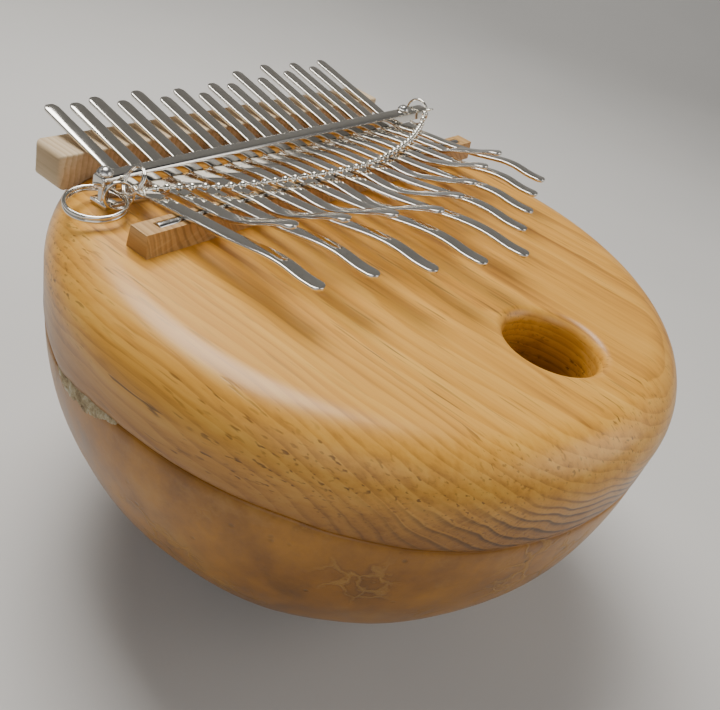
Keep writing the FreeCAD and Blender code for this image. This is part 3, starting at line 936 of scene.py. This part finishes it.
def ring(name, c, nrm, R, r, mat, n=96, closed=True):
    u, v, w_ = frame_of(nrm)
    pts = [Vector(c) + u * (R * math.cos(2 * math.pi * k / n)) + v * (R * math.sin(2 * math.pi * k / n)) for k in range(n)]
    return tube(name, pts, r, mat, n=14, closed=True)


def split_ring(name, c, nrm, R, r, gap, mat, turns=1.86):
    """Two close coils of wire, like a key ring."""
    u, v, w_ = frame_of(nrm)
    n = int(150 * turns)
    pts, rads = [], []
    for k in range(n + 1):
        t = k / n
        a = 2 * math.pi * turns * t
        # most of each turn lies flat; the wire steps over to the other coil near the split
        s = 1 / (1 + math.exp(-(t - 0.5) * 26))
        pts.append(Vector(c) + u * (R * math.cos(a)) + v * (R * math.sin(a)) + w_ * (gap * (s - 0.5)))
        e = min(t, 1 - t) * n
        rads.append(r * (1.0 if e > 4 else 0.55 + 0.45 * e / 4))
    return tube(name, pts, rads, mat, n=16, closed=False)


def mm(x, y, z):
    return (x * MM, Y0 + y * MM, H + z * MM)


ring_large = split_ring("ring_large_visual", mm(-73.1, -11.0, 3.0), (-0.10, 0.0, 0.995), 0.0086, 0.00060, 0.00115, M_RING)
ring_medium = split_ring("ring_medium_visual", mm(-67.1, -13.2, 5.2), (0.34, 0.94, 0.0), 0.0043, 0.00036, 0.0006, M_RING)
ring_small = split_ring("ring_small_visual", mm(-64.4, -15.6, 10.6), (-0.81, 0.29, 0.5), 0.0044, 0.00036, 0.0006, M_RING)
ring_end = ring("ring_end_visual", mm(92.6, -8.1, 7.85), (1, 0, 0), 0.0050, 0.0005, M_RING)


def chain_mesh():
    """Beads with little connecting pins, at the places of the CAD beads."""
    path_xy = [(-60.3, -20.6), (-46.5, -27.1), (-34.5, -30.7), (-18.2, -33.9), (-2.8, -36.1), (10.2, -37.0), (24.4, -35.6),
               (36.9, -32.8), (52.6, -28.2), (66.3, -22.4), (76.5, -17.6)]
    k = (T_ROD - T_BAR) / 25.0
    P = [(-60.0, -19.9, 9.3)]
    for x, y in path_xy:
        P.append((x + 5.9, y, T_BAR + k * max(0.0, -8.1 - y) + 1.2 + 0.62))
    P.append((88.0, -14.4, 10.3))
    P = np.array(P)
    s = np.concatenate([[0], np.cumsum(np.linalg.norm(np.diff(P, axis=0), axis=1))])
    fine = np.linspace(0, s[-1], 1200)
    from_s = []
    for d in range(3):
        x_, y_, t_, L_ = cubic(s, P[:, d], 1200)
        from_s.append(np.interp(fine, x_, y_))
    Q = np.stack(from_s, 1)
    cs = np.concatenate([[0], np.cumsum(np.linalg.norm(np.diff(Q, axis=0), axis=1))])
    n = int(round(cs[-1] / 4.0))
    at = np.linspace(0, cs[-1], n + 1)
    B = np.stack([np.interp(at, cs, Q[:, d]) for d in range(3)], 1)
    objs = []
    for a in range(n + 1):
        t = B[min(a + 1, n)] - B[max(a - 1, 0)]
        t /= np.linalg.norm(t)
        # a bead: round with a slight collar at each end where the pin goes in
        prof = []
        R = 1.2
        for q in range(17):
            g = math.pi * q / 16
            r = R * math.sin(g)
            xx = -R * math.cos(g)
            if r < 0.42:
                continue
            prof.append((xx, r))
        prof = [(prof[0][0] - 0.12, 0.5), (prof[0][0], 0.56)] + prof[1:-1] + [(prof[-1][0], 0.56), (prof[-1][0] + 0.12, 0.5)]
        u, v, w_ = frame_of(t)
        verts = []
        m = 20
        for xx, r in prof:
            for q in range(m):
                g = 2 * math.pi * q / m
                p = Vector(B[a]) + w_ * xx + u * (r * math.cos(g)) + v * (r * math.sin(g))
                verts.append((p[0] * MM, Y0 + p[1] * MM, H + p[2] * MM))
        f = grid_faces(len(prof), m, wrap_v=True)
        f.append(tuple(range(m)))
        f.append(tuple(reversed(range((len(prof) - 1) * m, len(prof) * m))))
        objs.append(new_mesh("bead", verts, f, mat=M_CHAIN))
        if a < n:
            e = B[a + 1] - B[a]
            e /= np.linalg.norm(e)
            p0, p1 = B[a] + e * 1.0, B[a + 1] - e * 1.0
            line = [mm(*(p0 + (p1 - p0) * q / 6)) for q in range(7)]
            rad = [0.0004, 0.00036, 0.00032, 0.00030, 0.00032, 0.00036, 0.0004]
            objs.append(tube("pin", line, rad, M_CHAIN, n=10))
    loop_a, na = (-65.4, -19.5, 9.57), (0.40, -0.33, 0.85)
    loop_b, nb = (92.6, -8.1 - 5.6 * 0.866, 7.85 + 5.6 * 0.5), (0.0, 0.5, 0.866)
    for c, nn, b in ((loop_a, na, B[0]), (loop_b, nb, B[-1])):
        objs.append(ring("loop", mm(*c), nn, 0.0019, 0.0004, M_CHAIN, n=40))
        d = np.array(b) - np.array(c)
        L_ = np.linalg.norm(d)
        d /= L_
        p0, p1 = np.array(c) + d * 2.0, np.array(b) - d * 1.0
        objs.append(tube("shank", [mm(*(p0 + (p1 - p0) * q / 5)) for q in range(6)], 0.0004, M_CHAIN, n=10))
    return join(objs, "rattle_chain_visual")


chain = chain_mesh()

# =============================================================== which piece stands for what
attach(board, "body"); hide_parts("soundboard")
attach(gourd, "body"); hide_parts("gourd_bowl")
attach(fill, "body")
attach(back, "body"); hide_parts("back_bridge")
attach(front, "body"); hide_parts("front_bridge")
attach(rod, "body"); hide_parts("bridge_rod")
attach(bar, "body"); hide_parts("pressure_bar")
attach(low, "body"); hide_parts("lower_bar")
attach(screws, "body"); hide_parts("clamp_screws")
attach(washers, "body"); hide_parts("clamp_washers")
for i, t in enumerate(tines):
    n = i + 1
    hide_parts("tine_%02d_clamped" % n, "tine_%02d_reed" % n)
    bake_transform(t)
for o, b in ((ring_large, "ring_large"), (ring_medium, "ring_medium"), (ring_small, "ring_small"), (ring_end, "ring_end")):
    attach(o, b)
    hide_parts(b)
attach(chain, "chain"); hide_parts("rattle_chain")

# =============================================================== stage, light, camera


def floor_material():
    w = Mat("studio_floor")
    a = w.noise(w.mapping(scale=(3, 3, 3)), 1.0, 4, 0.5)
    b = w.noise(w.mapping(scale=(300, 300, 300)), 1.0, 2, 0.5)
    col = w.ramp(a, [(0.3, srgb(206, 204, 200)), (0.7, srgb(214, 212, 208))])
    return w.out(color=col, rough=0.6, normal=w.bump(b, 0.05, 0.0002))


M_FLOOR = floor_material()
verts, faces = [], []
n_f = 48
prof_f = [(-1.2, 0.0), (0.9, 0.0)]
curve = [(-1.6, 0.0), (-0.8, 0.0), (0.0, 0.0), (0.9, 0.0)] + [(0.9 + 0.5 * math.sin(math.pi / 2 * k / 12), 0.5 - 0.5 * math.cos(math.pi / 2 * k / 12)) for k in range(1, 13)] + [(1.4, 2.2)]
fwd = Vector((0.8818, 0.4717, 0)).normalized()
side = Vector((fwd.y, -fwd.x, 0))
for s_, z_ in curve:
    for k in range(9):
        p = fwd * s_ + side * (-2.4 + 0.6 * k)
        verts.append((p.x, p.y, z_))
floor = new_mesh("studio_floor", verts, grid_faces(len(curve), 9), mat=M_FLOOR)


def area(name, loc, target, size, power, color=(1, 1, 1), size_y=None):
    l = bpy.data.lights.new(name, "AREA")
    l.energy = power
    l.color = color
    l.size = size
    if size_y:
        l.shape = "RECTANGLE"
        l.size_y = size_y
    o = bpy.data.objects.new(name, l)
    bpy.context.scene.collection.objects.link(o)
    o.location = loc
    d = Vector(target) - Vector(loc)
    o.rotation_euler = d.to_track_quat("-Z", "Y").to_euler()
    return o


area("key", (0.10, 0.35, 0.85), (0, 0, 0.10), 0.45, 10.0, (1.0, 0.98, 0.95), size_y=0.6)
area("fill", (-0.75, -0.5, 0.55), (0, 0, 0.08), 0.8, 1.8, (0.97, 0.98, 1.0))
area("front", (0.45, -0.75, 0.5), (0, 0, 0.08), 0.6, 2.2, (1.0, 0.97, 0.93))

world = bpy.data.worlds.new("studio")
bpy.context.scene.world = world
world.use_nodes = True
wt = world.node_tree
bg = wt.nodes["Background"]
tc = wt.nodes.new("ShaderNodeTexCoord")
sp = wt.nodes.new("ShaderNodeSeparateXYZ")
wt.links.new(tc.outputs["Generated"], sp.inputs[0])
cr = wt.nodes.new("ShaderNodeValToRGB")
stops = [(0.0, 0.24), (0.36, 0.26), (0.46, 1.0), (0.56, 1.0), (0.64, 0.05), (1.0, 0.16)]
while len(cr.color_ramp.elements) < len(stops):
    cr.color_ramp.elements.new(0.5)
for e, (pos, g) in zip(cr.color_ramp.elements, stops):
    e.position = pos
    e.color = (g, g, g * 1.01, 1)
wt.links.new(sp.outputs["Z"], cr.inputs["Fac"])
wt.links.new(cr.outputs["Color"], bg.inputs["Color"])
bg.inputs["Strength"].default_value = 0.65

# camera fitted to the object's own features
Rw = [[0.6023367158832229, -0.7573241648260689, 0.2522906856574577],
      [-0.3317969352665566, -0.524994183764179, -0.7837677594552503],
      [0.7260174064350892, 0.38838282194798474, -0.5675011093989033]]
right, down, forward = (Vector(r) for r in Rw)
cam_d = bpy.data.cameras.new("camera")
cam = bpy.data.objects.new("camera", cam_d)
bpy.context.scene.collection.objects.link(cam)
m3 = Matrix((right, -down, -forward)).transposed()
cam.matrix_world = Matrix.Translation((-0.2162728, -0.1189180, 0.2458113)) @ m3.to_4x4()
cam_d.sensor_fit = "HORIZONTAL"
cam_d.sensor_width = 36.0
cam_d.lens = 845.977 / 720 * 36
cam_d.shift_x = (360 - 358.82) / 720
cam_d.shift_y = (356.97 - 355) / 720
cam_d.clip_start = 0.005
cam_d.clip_end = 20
bpy.context.scene.camera = cam
